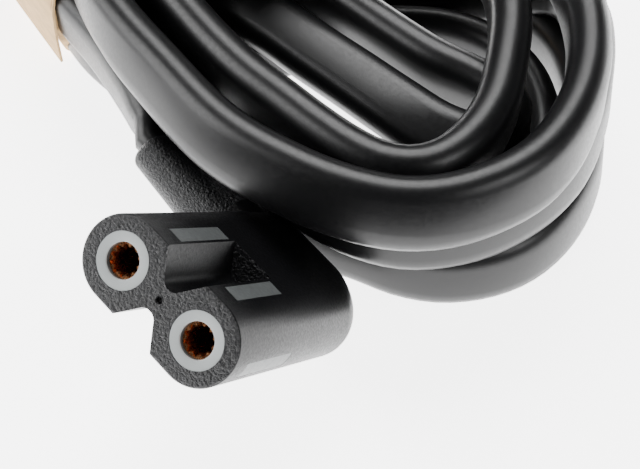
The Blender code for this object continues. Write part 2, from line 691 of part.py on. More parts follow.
def build_plug(parts, guides, moulding, metal, sleeve_plastic):
    """The flat two-pin plug: its moulding with the strain relief, two pins and their sleeves."""
    frame = plug_matrix()
    half_width = PLUG_WIDTH / 2
    half_waist = PLUG_WAIST_WIDTH / 2
    outline = [(half_waist, 0), (half_width, PLUG_SHOULDER), (half_width, PLUG_LENGTH),
               (-half_width, PLUG_LENGTH), (-half_width, PLUG_SHOULDER), (-half_waist, 0)]
    mesh = flat_mesh("plug_outline", [outline], PLUG_THICKNESS)
    mesh.transform(frame)
    body = put_in(bpy.data.objects.new("plug_body", mesh), parts, moulding)
    bevel = body.modifiers.new("edges", "BEVEL")
    bevel.width = PLUG_EDGE_RADIUS
    bevel.segments = 3
    bevel.limit_method = "ANGLE"
    bevel.angle_limit = math.radians(35)

    def build_relief(shape):
        middle = (PLUG_RELIEF_BURIED - PLUG_RELIEF_LENGTH) / 2
        bmesh.ops.create_cone(shape, cap_ends=True, segments=ROUND_SEGMENTS, radius1=PLUG_RELIEF_TIP_RADIUS,
                              radius2=PLUG_RELIEF_ROOT_RADIUS, depth=PLUG_RELIEF_LENGTH + PLUG_RELIEF_BURIED,
                              matrix=Matrix.Translation((0, middle, 0)) @ INTO_BODY)

    relief = mesh_from("plug_relief", build_relief)
    relief.transform(frame)
    add_cutter(body, relief, "UNION", guides)

    pieces = [body]
    for number, x in enumerate((-PIN_PITCH / 2, PIN_PITCH / 2), start=1):
        seat = turned_mesh(f"pin_seat_{number}", [(0, PLUG_LENGTH + CUTTER_OVERRUN),
                                                  (PIN_RADIUS + CLEARANCE, PLUG_LENGTH + CUTTER_OVERRUN),
                                                  (PIN_RADIUS + CLEARANCE, PLUG_LENGTH - PIN_SOCKET_DEPTH),
                                                  (0, PLUG_LENGTH - PIN_SOCKET_DEPTH)])
        seat.transform(frame @ Matrix.Translation((x, 0, 0)) @ INTO_BODY)
        add_cutter(body, seat, "DIFFERENCE", guides)

        root = PLUG_LENGTH - PIN_SOCKET_DEPTH + CLEARANCE
        neck_end = PLUG_LENGTH + SLEEVE_LENGTH
        tip = PLUG_LENGTH + PIN_LENGTH
        rounding = [(radius, height) for height, radius in arc((tip - PIN_RADIUS, 0), PIN_RADIUS, 90, 0, 6)]
        neck = SLEEVE_CORE_RADIUS
        profile = [(0, tip)] + list(reversed(rounding))[1:] + [
            (PIN_RADIUS, neck_end), (neck, neck_end), (neck, PLUG_LENGTH), (PIN_RADIUS, PLUG_LENGTH),
            (PIN_RADIUS, root), (0, root),
        ]
        pin_mesh = turned_mesh(f"plug_pin_{number}", profile)
        pin_mesh.transform(frame @ Matrix.Translation((x, 0, 0)) @ INTO_BODY)
        pieces.append(put_in(bpy.data.objects.new(f"plug_pin_{number}", pin_mesh), parts, metal))

        hole = SLEEVE_CORE_RADIUS + CLEARANCE
        low = PLUG_LENGTH + CLEARANCE
        high = neck_end - CLEARANCE
        profile = [(hole, high), (SLEEVE_RADIUS, high), (SLEEVE_RADIUS, low), (hole, low)]
        sleeve_mesh = turned_mesh(f"pin_sleeve_{number}", profile, ring=True)
        sleeve_mesh.transform(frame @ Matrix.Translation((x, 0, 0)) @ INTO_BODY)
        pieces.append(put_in(bpy.data.objects.new(f"pin_sleeve_{number}", sleeve_mesh), parts, sleeve_plastic))
    return pieces


def build_tail(parts, material):
    """The stretch between the waist of the hank and the plug's strain relief."""
    first = WAIST_LENGTH / 2 + CLEARANCE
    last = PLUG_ALONG - PLUG_RELIEF_LENGTH - CLEARANCE
    top_row = WAIST_MIDDLE_ROW + WAIST_ROW_PITCH
    start = [along_waist(first + reach, TAIL_START_ASIDE, top_row) for reach in (0, CORD_THICKNESS / 2)]
    end = [along_waist(last - reach, PLUG_ASIDE, PLUG_THICKNESS / 2) for reach in (CORD_THICKNESS / 2, 0)]
    middle = [along_waist(along * MM, aside * MM, height * MM) for along, aside, height in TAIL_ROUTE]
    return build_cord_tube(parts, "cord_tail", [*start, *middle, *end], material)


def main():
    """Clears the scene and builds every piece."""
    for obj in list(bpy.data.objects):
        bpy.data.objects.remove(obj)
    parts = bpy.data.collections.new("power_cord")
    guides = bpy.data.collections.new("guides")
    bpy.context.scene.collection.children.link(parts)
    bpy.context.scene.collection.children.link(guides)

    black = plastic("black_pvc", (0.022, 0.022, 0.024), 0.42)
    grey = plastic("light_grey_core", (0.58, 0.61, 0.61), 0.45)
    copper = surface("copper_alloy", (0.62, 0.27, 0.13), 0.35, 1.0)
    kraft = plastic("kraft_paper", (0.62, 0.42, 0.21), 0.8)
    nickel = surface("nickel_plate", (0.72, 0.71, 0.69), 0.25, 1.0)

    place = put_in(bpy.data.objects.new("connector_place", None), parts)
    place.rotation_mode = "YXZ"
    place.rotation_euler = Euler((-CONNECTOR_NOSE_UP, CONNECTOR_ROLL, CONNECTOR_HEADING), "YXZ")
    connector = [
        build_connector_body(parts, guides, place, black),
        build_insert(parts, guides, place, grey),
    ]
    for number, x in enumerate(bore_centres(), start=1):
        connector.append(build_contact(parts, guides, place, number, x, copper))
    rest_on_floor(place, connector)

    build_lead(parts, place, black)
    build_hank(parts, guides, black)
    build_band(parts, guides, kraft)
    build_tail(parts, black)
    plug = build_plug(parts, guides, black, nickel, black)
    for obj in connector + plug:
        shade_round(obj)


if __name__ == "__main__":
    main()
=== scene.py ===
"""Dresses the power cord: the flat lead in its banded hank, the connector, the band and the plug.

Metres, +Z up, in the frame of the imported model: the floor is z = 0 and the origin is on the floor
under the middle of the connector. Sizes and routes are written in millimetres, as a maker would
give them, and turned into metres where a mesh is finished.
"""

import logging
import math
from dataclasses import dataclass
from enum import Enum

import bmesh
import bpy
import numpy as np
from mathutils import Euler, Matrix, Vector


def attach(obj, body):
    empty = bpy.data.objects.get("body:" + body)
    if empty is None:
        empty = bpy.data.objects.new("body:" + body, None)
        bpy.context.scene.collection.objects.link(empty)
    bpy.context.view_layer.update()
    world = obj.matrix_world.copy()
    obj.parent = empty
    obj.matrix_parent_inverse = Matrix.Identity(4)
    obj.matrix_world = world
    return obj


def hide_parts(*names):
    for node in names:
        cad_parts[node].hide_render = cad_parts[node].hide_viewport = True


LOG = logging.getLogger("power_cord")
MM = 0.001
BODY = "root"
ROUND_STEPS = 96
WELD_DISTANCE = 0.0005
# The noise values between which roughness and colour change, and how fine the noise is
ROUGH_SPAN = (0.3, 0.7)
SHADE_SPAN = (0.32, 0.68)
FINE_DETAIL = 3.0
BROAD_DETAIL = 4.0
NOISE_ROUGHNESS = 0.55
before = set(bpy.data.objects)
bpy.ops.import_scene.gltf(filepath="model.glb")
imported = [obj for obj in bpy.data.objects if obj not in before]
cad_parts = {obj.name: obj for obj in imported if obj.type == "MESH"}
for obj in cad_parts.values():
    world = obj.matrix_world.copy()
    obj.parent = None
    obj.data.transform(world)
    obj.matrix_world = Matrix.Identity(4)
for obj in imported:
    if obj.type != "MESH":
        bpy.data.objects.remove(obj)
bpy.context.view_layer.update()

Route = list[tuple[float, float, float, float]]
Outline = list[tuple[float, float]]


class Carve(Enum):
    """How one closed mesh changes another."""

    CUT = "DIFFERENCE"
    JOIN = "UNION"
    KEEP = "INTERSECT"


@dataclass(frozen=True)
class Finish:
    """A surface's colour, gloss and fine texture; the grain and its depth are in millimetres."""

    name: str
    colour: tuple[float, float, float]
    roughness: float
    metallic: float = 0.0
    specular: float = 0.5
    grain: float = 0.3
    depth: float = 0.004
    spread: float = 0.06
    mottle: float = 0.1
    mottle_size: float = 4.0
    stretch: tuple[float, float, float] = (1.0, 1.0, 1.0)

    def material(self) -> bpy.types.Material:
        """The finish as a node material on object coordinates.

        Returns:
            A Principled material whose colour, roughness and bump vary with noise.
        """
        material = bpy.data.materials.new(self.name)
        material.use_nodes = True
        tree = material.node_tree
        shader = tree.nodes["Principled BSDF"]
        shader.inputs["Metallic"].default_value = self.metallic
        shader.inputs["Specular IOR Level"].default_value = self.specular
        place = tree.nodes.new("ShaderNodeTexCoord")
        mapping = tree.nodes.new("ShaderNodeMapping")
        mapping.inputs["Scale"].default_value = self.stretch
        tree.links.new(place.outputs["Object"], mapping.inputs["Vector"])

        fine = self.noise(tree, mapping, self.grain, FINE_DETAIL)
        rough = tree.nodes.new("ShaderNodeMapRange")
        rough.inputs["From Min"].default_value = ROUGH_SPAN[0]
        rough.inputs["From Max"].default_value = ROUGH_SPAN[1]
        rough.inputs["To Min"].default_value = self.roughness - self.spread
        rough.inputs["To Max"].default_value = self.roughness + self.spread
        tree.links.new(fine.outputs["Fac"], rough.inputs["Value"])
        tree.links.new(rough.outputs["Result"], shader.inputs["Roughness"])

        broad = self.noise(tree, mapping, self.mottle_size, BROAD_DETAIL)
        shades = tree.nodes.new("ShaderNodeValToRGB")
        shades.color_ramp.elements[0].position = SHADE_SPAN[0]
        shades.color_ramp.elements[1].position = SHADE_SPAN[1]
        shares = (1.0 - self.mottle, 1.0 + self.mottle)
        for element, share in zip(shades.color_ramp.elements, shares):
            element.color = (*(min(1.0, part * share) for part in self.colour), 1.0)
        tree.links.new(broad.outputs["Fac"], shades.inputs["Fac"])
        tree.links.new(shades.outputs["Color"], shader.inputs["Base Color"])

        bump = tree.nodes.new("ShaderNodeBump")
        bump.inputs["Strength"].default_value = 1.0
        bump.inputs["Distance"].default_value = self.depth * MM
        tree.links.new(fine.outputs["Fac"], bump.inputs["Height"])
        tree.links.new(bump.outputs["Normal"], shader.inputs["Normal"])
        material.diffuse_color = (*self.colour, 1.0)
        return material

    def noise(self, tree: bpy.types.NodeTree, mapping: bpy.types.Node, size: float,
              detail: float) -> bpy.types.Node:
        """A noise pattern of one size.

        Args:
            tree: the material's node tree.
            mapping: the node that places the pattern.
            size: the size of its spots, in millimetres.
            detail: how many finer octaves it has.

        Returns:
            The noise node.
        """
        noise = tree.nodes.new("ShaderNodeTexNoise")
        noise.inputs["Scale"].default_value = 1.0 / (size * MM)
        noise.inputs["Detail"].default_value = detail
        noise.inputs["Roughness"].default_value = NOISE_ROUGHNESS
        tree.links.new(mapping.outputs["Vector"], noise.inputs["Vector"])
        return noise


GLOSSY_PVC = Finish("glossy_pvc", (0.004, 0.004, 0.0045), 0.36, specular=0.36, grain=0.35, depth=0.003,
                    spread=0.05, mottle=0.2, mottle_size=5.0)
# The same black moulding as the spark grain, with darker colour and weaker specular: painted shade on the
# connector's sides, also used on the pin sleeves.
SIDE_PAINTED_SHADE = Finish("moulded_side_painted_shade", (0.0025, 0.0025, 0.003), 0.38, specular=0.16, grain=0.22, depth=0.02,
                      spread=0.1)
SPARK_GRAIN = Finish("spark_grain", (0.006, 0.006, 0.007), 0.42, specular=0.42, grain=0.26, depth=0.2,
                     spread=0.16, mottle=0.6, mottle_size=0.45)
RING_PLASTIC = Finish("ring_plastic", (0.36, 0.38, 0.38), 0.42, specular=0.4, grain=0.4, depth=0.006,
                      mottle=0.05)
# A much darker copy of the insert's light ring plastic, for the windows: painted shade.
WINDOW_PAINTED_SHADE = Finish("window_plastic_painted_shade", (0.062, 0.067, 0.067), 0.45, specular=0.4, grain=0.3, depth=0.008,
                        mottle=0.14, mottle_size=0.8)
COPPER = Finish("copper_alloy", (0.75, 0.33, 0.15), 0.28, metallic=1.0, grain=0.2, depth=0.01, mottle=0.3,
                mottle_size=0.6)
KRAFT = Finish("kraft_paper", (0.56, 0.37, 0.185), 0.78, specular=0.2, grain=0.35, depth=0.03, spread=0.08,
               mottle=0.12, mottle_size=1.6, stretch=(1.0, 0.5, 2.2))
NICKEL = Finish("nickel_plate", (0.72, 0.71, 0.68), 0.22, metallic=1.0, grain=0.25, depth=0.002, spread=0.08,
                mottle=0.06)


def smooth(share: float) -> float:
    """A soft step from 0 to 1."""
    share = max(0.0, min(1.0, share))
    return share * share * (3.0 - 2.0 * share)


def arc(centre: tuple[float, float], radius: float, start: float, end: float, steps: int) -> Outline:
    """Points on an arc, both ends included.

    Args:
        centre: its centre.
        radius: its radius.
        start: the angle of its first point, in degrees.
        end: the angle of its last point, in degrees.
        steps: how many stretches it is divided into.

    Returns:
        The points in order.
    """
    angles = [math.radians(start + (end - start) * step / steps) for step in range(steps + 1)]
    return [(centre[0] + radius * math.cos(angle), centre[1] + radius * math.sin(angle)) for angle in angles]


def squared_oval(half_across: float, half_up: float, squareness: float, count: int) -> Outline:
    """A superellipse round the origin.

    Args:
        half_across: half its width.
        half_up: half its height.
        squareness: the power of its sine and cosine: 1 gives an ellipse, and less squares it.
        count: how many points it has.

    Returns:
        Its points, anticlockwise from the right.
    """
    oval = []
    for across, up in arc((0.0, 0.0), 1.0, 0.0, 360.0 - 360.0 / count, count - 1):
        across, up = (math.copysign(abs(part) ** squareness, part) for part in (across, up))
        oval.append((across * half_across, up * half_up))
    return oval


def rounding_inset(distance: float, radius: float) -> float:
    """How far a rounded edge draws a side in.

    Args:
        distance: from the end that the edge leads to.
        radius: the edge's radius.

    Returns:
        The inset, which is nothing past the radius.
    """
    if distance >= radius:
        return 0.0
    return radius - math.sqrt(radius ** 2 - (radius - distance) ** 2)


def mesh_of(shape: bmesh.types.BMesh, name: str) -> bpy.types.Mesh:
    """Turns a bmesh into a mesh with its faces pointing out, and frees it.

    Args:
        shape: the bmesh.
        name: the mesh's name.

    Returns:
        The mesh.
    """
    bmesh.ops.recalc_face_normals(shape, faces=shape.faces)
    mesh = bpy.data.meshes.new(name)
    shape.to_mesh(mesh)
    shape.free()
    return mesh


def lofted(name: str, rings: list[list[tuple[float, float, float]]], endless: bool = False) -> bpy.types.Mesh:
    """A closed skin through like rings of points.

    Args:
        name: the mesh's name.
        rings: the rings in order.
        endless: whether the last ring joins the first; if not, both are filled.

    Returns:
        The mesh.
    """
    shape = bmesh.new()
    loops = []
    for ring in rings:
        verts = [shape.verts.new(point) for point in ring]
        loops.append([shape.edges.new(pair) for pair in zip(verts, verts[1:] + verts[:1])])
    following = loops[1:] + loops[:1] if endless else loops[1:]
    for near, far in zip(loops, following):
        bmesh.ops.bridge_loops(shape, edges=near + far)
    if not endless:
        for edges in (loops[0], loops[-1]):
            bmesh.ops.contextual_create(shape, geom=edges)
    return mesh_of(shape, name)


def turned(name: str, profile: Outline, steps: int) -> bpy.types.Mesh:
    """A profile of (radius, depth) points, from axis to axis, spun about the Y axis.

    Args:
        name: the mesh's name.
        profile: the points in order.
        steps: how many sides it gets.

    Returns:
        The closed mesh.
    """
    shape = bmesh.new()
    verts = [shape.verts.new((radius, depth, 0.0)) for radius, depth in profile]
    edges = [shape.edges.new(pair) for pair in zip(verts, verts[1:])]
    bmesh.ops.spin(shape, geom=verts + edges, cent=(0, 0, 0), axis=(0, 1, 0), dvec=(0, 0, 0),
                   angle=math.tau, steps=steps, use_merge=True, use_normal_flip=False, use_duplicate=False)
    bmesh.ops.remove_doubles(shape, verts=shape.verts, dist=WELD_DISTANCE)
    return mesh_of(shape, name)


def block(low: tuple[float, float, float], high: tuple[float, float, float]) -> bpy.types.Mesh:
    """A box between two corners.

    Args:
        low: its lowest corner on all three axes.
        high: its highest corner.

    Returns:
        The mesh.
    """
    size = Vector(high) - Vector(low)
    middle = (Vector(high) + Vector(low)) / 2
    shape = bmesh.new()
    bmesh.ops.create_cube(shape, size=1.0, matrix=Matrix.Translation(middle) @ Matrix.Diagonal((*size, 1.0)))
    return mesh_of(shape, "block")


def moved(mesh: bpy.types.Mesh, matrix: Matrix) -> bpy.types.Mesh:
    """The same mesh after a move."""
    mesh.transform(matrix)
    return mesh


def carved(base: bpy.types.Mesh, tools: list[tuple[Carve, bpy.types.Mesh]]) -> bpy.types.Mesh:
    """A mesh after exact Booleans, one after another.

    Args:
        base: the closed mesh that is changed.
        tools: each step and the closed mesh that it uses.

    Returns:
        The resulting mesh.
    """
    collection = bpy.context.scene.collection
    target = bpy.data.objects.new("carving", base)
    collection.objects.link(target)
    helpers = []
    for step, mesh in tools:
        helper = bpy.data.objects.new("tool", mesh)
        collection.objects.link(helper)
        helpers.append(helper)
        change = target.modifiers.new("carve", "BOOLEAN")
        change.operation = step.value
        change.solver = "EXACT"
        change.object = helper
    graph = bpy.context.evaluated_depsgraph_get()
    result = bpy.data.meshes.new_from_object(target.evaluated_get(graph))
    for helper in [target, *helpers]:
        bpy.data.objects.remove(helper)
    return result


def finished(name: str, mesh: bpy.types.Mesh, finishes: list[Finish],
             sharp: float = 40.0) -> bpy.types.Object:
    """A piece from its mesh, at the origin and riding on the part's one body.

    Args:
        name: the piece's name.
        mesh: its mesh, in metres and in its place.
        finishes: its finishes, in the order of its faces' material numbers.
        sharp: the angle in degrees past which an edge stays sharp.

    Returns:
        The object.
    """
    mesh.shade_smooth()
    mesh.set_sharp_from_angle(angle=math.radians(sharp))
    numbers = [polygon.material_index for polygon in mesh.polygons]
    mesh.materials.clear()
    for finish in finishes:
        mesh.materials.append(finish.material())
    mesh.polygons.foreach_set("material_index", numbers)
    piece = bpy.data.objects.new(name, mesh)
    bpy.context.scene.collection.objects.link(piece)
    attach(piece, BODY)
    LOG.info("%s: %d faces", name, len(mesh.polygons))
    return piece


@dataclass(frozen=True)
class Waist:
    """The banded middle of the hank, and the places of the thirteen crossings in it, in millimetres."""

    x: float = -16.3
    y: float = 46.7
    heading: float = 32.0
    column: float = 3.9
    rows: tuple[float, float, float] = (3.65, 9.7, 15.75)

    def point(self, along: float, aside: float, height: float) -> Vector:
        """A point in the frame of the band.

        Args:
            along: its distance along the band's axis, away from the connector.
            aside: its distance to the right of that axis.
            height: its height above the floor.

        Returns:
            The point, in millimetres.
        """
        turn = math.radians(self.heading)
        forward = Vector((-math.sin(turn), math.cos(turn), 0.0))
        right = Vector((math.cos(turn), math.sin(turn), 0.0))
        place = Vector((self.x, self.y, 0.0)) + forward * along + right * aside
        place.z = height
        return place

    def outline(self, radius: float, flat: float) -> Outline:
        """The line round all the crossings.

        Args:
            radius: from the middles of the outermost cords' round edges to the line.
            flat: half the distance between the middles of one cord's two round edges.

        Returns:
            Points aside and up, anticlockwise from the bottom right.
        """
        middle = 2.0 * self.column
        outer = 1.5 * self.column
        low, level, high = self.rows
        slope = math.degrees(math.atan2(middle - outer, high - level))
        right = arc((outer, low - flat), radius, -90, -slope, 8)
        right += arc((middle, level - flat), radius, -slope, 0, 3)
        right += arc((middle, level + flat), radius, 0, slope, 3)
        right += arc((outer, high + flat), radius, slope, 90, 8)
        return right + [(-x, z) for x, z in reversed(right)]


WAIST = Waist()


@dataclass
class FlatCord:
    """The flat two-core lead: one length from the strain relief through the hank to the plug.

    The relief grips its first stretch, which is drawn smaller there and widens over the gripped length.
    """

    width: float = 6.6
    thickness: float = 4.0
    declared_length: float = 1.8
    spacing: float = 1.25
    end_steps: int = 8
    relief_tip: tuple[float, float, float] = (-8.1, 15.88, 9.9)
    outward: tuple[float, float, float] = (-0.68, 0.692, 0.243)
    buried: float = 1.5
    gripped: float = 0.70
    gripped_length: float = 7.0
    plug_end: tuple[float, float] = (31.7, -23.0)
    plug_height: float = 6.85

    def near_loops(self) -> dict[str, Route]:
        """The six near loops, each from the band's left side round to its right side.

        Returns:
            For each loop its points: x, y, height and lean, the lean in degrees towards the left of travel.
        """
        return {
            "bottom_outer": [
                (-13.1, 32.2, 3.5, 0), (-8.9, 27.7, 3.4, 0), (-4.5, 21.1, 3.4, 0), (0.4, 15.0, 3.4, 0),
                (4.5, 11.6, 3.4, 4), (8.5, 9.4, 3.4, 8), (11.8, 7.9, 3.4, 10), (15.6, 6.1, 3.4, 12),
                (19.6, 5.4, 3.4, 12), (24.0, 6.2, 3.4, 12), (27.8, 8.4, 3.4, 12), (31.0, 12.2, 3.4, 12),
                (33.5, 17.4, 3.4, 8), (34.7, 23.5, 3.4, 4), (34.8, 30.0, 3.4, 0), (33.3, 36.4, 3.4, 0),
                (29.8, 41.6, 3.4, 0), (24.3, 45.3, 3.4, 0), (17.5, 46.8, 3.4, 0), (10.5, 46.4, 3.4, 0),
                (4.0, 44.4, 3.4, 0), (-0.8, 42.4, 3.5, 0),
            ],
            "middle_outer": [
                (-11.8, 33.0, 9.7, 0), (-8.4, 28.0, 9.8, 0), (-4.0, 21.4, 9.8, 4), (0.8, 15.1, 9.8, 10),
                (4.6, 10.9, 9.8, 15), (8.2, 7.6, 9.8, 15), (11.6, 5.5, 9.8, 15), (15.2, 4.4, 9.8, 15),
                (19.0, 4.6, 9.8, 15), (22.8, 5.9, 9.8, 15), (26.6, 8.4, 9.8, 15), (29.6, 11.5, 9.8, 14),
                (31.7, 15.0, 9.8, 12), (33.4, 19.2, 9.8, 8), (34.6, 23.8, 9.8, 5), (35.4, 29.0, 9.8, 0),
                (35.3, 33.6, 9.8, 0), (33.8, 38.2, 9.4, 0), (29.9, 40.6, 8.2, 0), (24.6, 42.3, 5.4, 0),
                (18.6, 42.9, 3.6, 0), (12.4, 42.5, 3.4, 0), (6.4, 40.8, 3.4, 0), (0.6, 38.9, 3.4, 0),
                (-4.4, 38.5, 3.5, 0),
            ],
            "bottom_inner": [
                (-9.6, 34.4, 3.5, 0), (-5.2, 29.6, 3.4, 0), (-0.8, 23.2, 3.4, 0), (3.9, 16.9, 3.4, 0),
                (7.6, 13.4, 3.4, 0), (11.5, 11.0, 3.4, 0), (15.5, 10.0, 3.4, 0), (19.6, 9.9, 3.4, 0),
                (23.5, 11.0, 3.4, 0), (26.8, 13.8, 3.4, 0), (29.1, 17.8, 3.4, 0), (30.2, 22.4, 3.4, 0),
                (30.2, 27.2, 3.4, 0), (29.0, 31.8, 3.4, 0), (26.0, 35.7, 3.4, 0), (21.4, 38.2, 3.4, 0),
                (15.8, 38.8, 3.4, 0), (10.0, 38.0, 3.4, 0), (4.6, 36.4, 3.4, 0), (-0.4, 35.0, 3.6, 0),
                (-5.0, 35.2, 5.4, 0), (-8.6, 37.0, 8.4, 0),
            ],
            "middle_inner": [
                (-4.3, 39.6, 9.2, 25), (-0.7, 37.2, 8.8, 55), (3.6, 33.2, 8.8, 72), (7.3, 29.3, 8.9, 74),
                (10.9, 25.7, 9.0, 74), (14.9, 21.8, 8.9, 72), (18.6, 18.6, 8.6, 60), (22.2, 16.6, 8.6, 38),
                (25.0, 17.0, 9.0, 14), (26.2, 19.4, 9.3, 0), (25.2, 22.0, 9.5, 0), (22.5, 24.2, 9.6, 0),
                (19.0, 26.6, 9.7, 0), (15.3, 30.2, 9.7, 0), (11.7, 34.0, 9.7, 0), (8.0, 37.8, 9.7, 0),
                (3.8, 41.0, 9.7, 0), (0.4, 42.4, 9.7, 0), (-2.6, 43.0, 9.7, 0),
            ],
            "top_inner": [
                (-10.3, 33.9, 16.0, 0), (-7.5, 29.8, 16.2, 0), (-4.8, 25.6, 16.2, 0), (-1.9, 21.2, 16.2, 0),
                (1.1, 17.3, 16.2, 0), (4.4, 13.8, 16.2, 0), (7.4, 10.6, 16.2, 0), (10.4, 7.8, 16.2, 0),
                (13.2, 6.0, 16.2, 0), (16.0, 5.6, 16.2, 0), (18.5, 6.6, 16.2, 0), (20.8, 8.8, 16.2, 0),
                (22.6, 11.6, 16.2, 0), (23.9, 14.8, 16.2, 0), (25.0, 19.4, 16.2, 0), (25.8, 24.0, 16.2, 0),
                (26.0, 28.2, 16.2, 0), (25.5, 32.4, 16.2, 0), (23.4, 36.4, 16.2, 0), (19.5, 39.3, 16.2, 0),
                (14.5, 40.6, 16.2, 0), (9.0, 40.4, 16.2, 0), (3.6, 39.2, 16.2, 0), (-1.4, 38.0, 16.1, 0),
                (-6.0, 38.2, 15.9, 0),
            ],
            "top_outer": [
                (-14.9, 31.7, 16.0, 3), (-13.0, 27.6, 16.2, 10), (-10.5, 23.2, 16.2, 20),
                (-7.2, 18.3, 16.2, 28), (-3.2, 12.6, 16.2, 32), (0.0, 9.1, 16.2, 32),
                (3.5, 6.4, 16.2, 30), (7.5, 3.9, 16.2, 30),
                (11.5, 2.2, 16.2, 30), (15.0, 1.5, 16.2, 30), (18.5, 1.8, 16.2, 28), (22.0, 3.1, 16.2, 25),
                (25.2, 5.1, 16.2, 20), (27.7, 7.6, 16.2, 14), (29.8, 10.9, 16.2, 8), (31.5, 14.8, 16.2, 4),
                (32.6, 19.0, 16.2, 0), (33.2, 23.5, 16.2, 0), (33.1, 28.0, 16.2, 0), (32.2, 33.0, 16.2, 0),
                (29.8, 37.8, 16.2, 0), (25.8, 41.6, 16.2, 0), (20.5, 43.9, 16.2, 0), (14.5, 44.7, 16.2, 0),
                (8.5, 44.2, 16.2, 0), (3.0, 42.7, 16.2, 0), (-1.6, 41.3, 16.0, 0),
            ],
        }

    def far_loop(self, inset: float, heights: tuple[float, float, float]) -> Route:
        """A far loop, from the band's left side round to its right side.

        Args:
            inset: how far it lies inside the outermost loop.
            heights: at its start, round its bow and at its end.

        Returns:
            Its points, as for the near loops.
        """
        outline = [
            (14, -8.4), (21, -9.3), (29, -9.5), (37, -8.6), (44.5, -5.6), (51, -0.2), (55.3, 7), (56.4, 15.2),
            (54.1, 23.1), (48.8, 29.3), (41.6, 32.4), (34.2, 31.8), (27.7, 28.1), (22.2, 22.5), (17.4, 16.4),
            (13.2, 11),
        ]
        middle = Vector((36.0, 11.5))
        start, bow, end = heights
        ramp = 0.3
        onset = 4.0
        end_ease = 0.15
        route = []
        for index, (along, aside) in enumerate(outline):
            share = index / (len(outline) - 1)
            spot = Vector((along, aside))
            ease = min(1.0, onset * share, onset * (1.0 - share) + end_ease)
            spot += (middle - spot).normalized() * inset * ease
            height = start + (bow - start) * smooth(share / ramp)
            height += (end - bow) * smooth((share - 1.0 + ramp) / ramp)
            route.append((*WAIST.point(spot.x, spot.y, height), 0.0))
        return route

    def crossing(self, row: int, step: float, away: bool) -> Route:
        """A straight run through the band.

        Args:
            row: 1 for the lowest of the three rows.
            step: columns to the right of the middle.
            away: whether it runs away from the connector.

        Returns:
            Its points, as for the near loops.
        """
        reaches = (-9.0, -3.0, 3.0, 9.0) if away else (9.0, 3.0, -3.0, -9.0)
        return [(*WAIST.point(reach, step * WAIST.column, WAIST.rows[row - 1]), 0.0) for reach in reaches]

    def lead(self) -> Route:
        """From inside the strain relief to the band's left side.

        Returns:
            Its points, as for the near loops.
        """
        start = Vector(self.relief_tip) - Vector(self.outward) * self.buried
        return [
            (*start, 40.0), (*self.relief_tip, 32.0), (-8.05, 17.4, 9.8, 14.0), (-8.9, 19.4, 9.9, 5.0),
            (-10.1, 22.1, 9.9, 2.0), (-12.6, 26.8, 9.9, 0.0), (-14.9, 30.6, 9.8, 0.0),
        ]

    def tail(self) -> Route:
        """From the band's far end to the plug.

        Returns:
            Its points, as for the near loops.
        """
        bends = [(12, -6.4, 15.7, 0), (17, -8.8, 14.4, 10), (22, -13.4, 11.2, 30), (26.4, -18.4, 8.0, 60),
                 (29.2, -21.6, 6.95, 85)]
        route = [(*WAIST.point(along, aside, height), lean) for along, aside, height, lean in bends]
        return [*route, (*WAIST.point(*self.plug_end, self.plug_height), 90.0)]

    def route(self) -> Route:
        """The whole route from the strain relief to the plug.

        Returns:
            Its points, as for the near loops.
        """
        low, mid, top = 3.4, 9.8, 16.2
        near = self.near_loops()

        def back(points: Route) -> Route:
            """The same run travelled the other way, so that its lean is to the other hand."""
            return [(x, y, z, -lean) for x, y, z, lean in reversed(points)]

        return [
            *self.lead(),
            *self.crossing(2, -1.95, True),
            *self.far_loop(0.0, (8.4, low, low)),
            *self.crossing(1, 1.5, False),
            *back(near["bottom_outer"]),
            *self.crossing(1, -1.5, True),
            *self.far_loop(0.8, (3.6, mid, mid)),
            *self.crossing(2, 2.0, False),
            *back(near["middle_inner"]),
            *self.crossing(2, 1.0, True),
            *back(self.far_loop(5.2, (mid, mid, mid))),
            *self.crossing(2, -1.0, False),
            *near["middle_outer"],
            *self.crossing(1, 0.5, True),
            *back(self.far_loop(4.6, (low, low, low))),
            *self.crossing(1, -0.5, False),
            *near["bottom_inner"],
            *self.crossing(2, 0.0, True),
            *self.far_loop(5.6, (mid, top, top)),
            *self.crossing(3, 0.5, False),
            *back(near["top_inner"]),
            *self.crossing(3, -0.5, True),
            *self.far_loop(1.2, (15.9, top, top)),
            *self.crossing(3, 1.5, False),
            *back(near["top_outer"]),
            *self.crossing(3, -1.5, True),
            *self.tail(),
        ]

    def path(self) -> tuple[list[Vector], list[float]]:
        """Evenly spaced points on the smooth curve through the route.

        Returns:
            The points, in millimetres, and the lean at each, in degrees.
        """
        fine_step = 0.4
        knots = [Vector(point) for point in self.route()]
        knots = [2 * knots[0] - knots[1], *knots, 2 * knots[-1] - knots[-2]]
        fine = []
        for before, start, end, after in zip(knots, knots[1:], knots[2:], knots[3:]):
            steps = max(2, round((end - start).length / fine_step))
            for step in range(steps):
                share = step / steps
                fine.append(0.5 * (2 * start + (end - before) * share
                                   + (2 * before - 5 * start + 4 * end - after) * share ** 2
                                   + (3 * start - before - 3 * end + after) * share ** 3))
        fine.append(knots[-2])
        places = np.array([point[:3] for point in fine])
        leans = np.array([point[3] for point in fine])
        steps = np.linalg.norm(np.diff(places, axis=0), axis=1)
        lengths = np.concatenate([[0.0], np.cumsum(steps)])
        at = np.linspace(0.0, lengths[-1], round(lengths[-1] / self.spacing) + 1)
        even = np.stack([np.interp(at, lengths, places[:, axis]) for axis in range(3)], axis=1)
        LOG.info("cord length %.1f mm", lengths[-1])
        return [Vector(point) for point in even], [float(lean) for lean in np.interp(at, lengths, leans)]

    def section(self) -> Outline:
        """The flat oval section.

        Returns:
            Its points: across its thickness and along its width.
        """
        radius = self.thickness / 2
        flat = self.width / 2 - radius
        upper = arc((0.0, flat), radius, 0, 180, self.end_steps)
        return upper + arc((0.0, -flat), radius, 180, 360, self.end_steps)

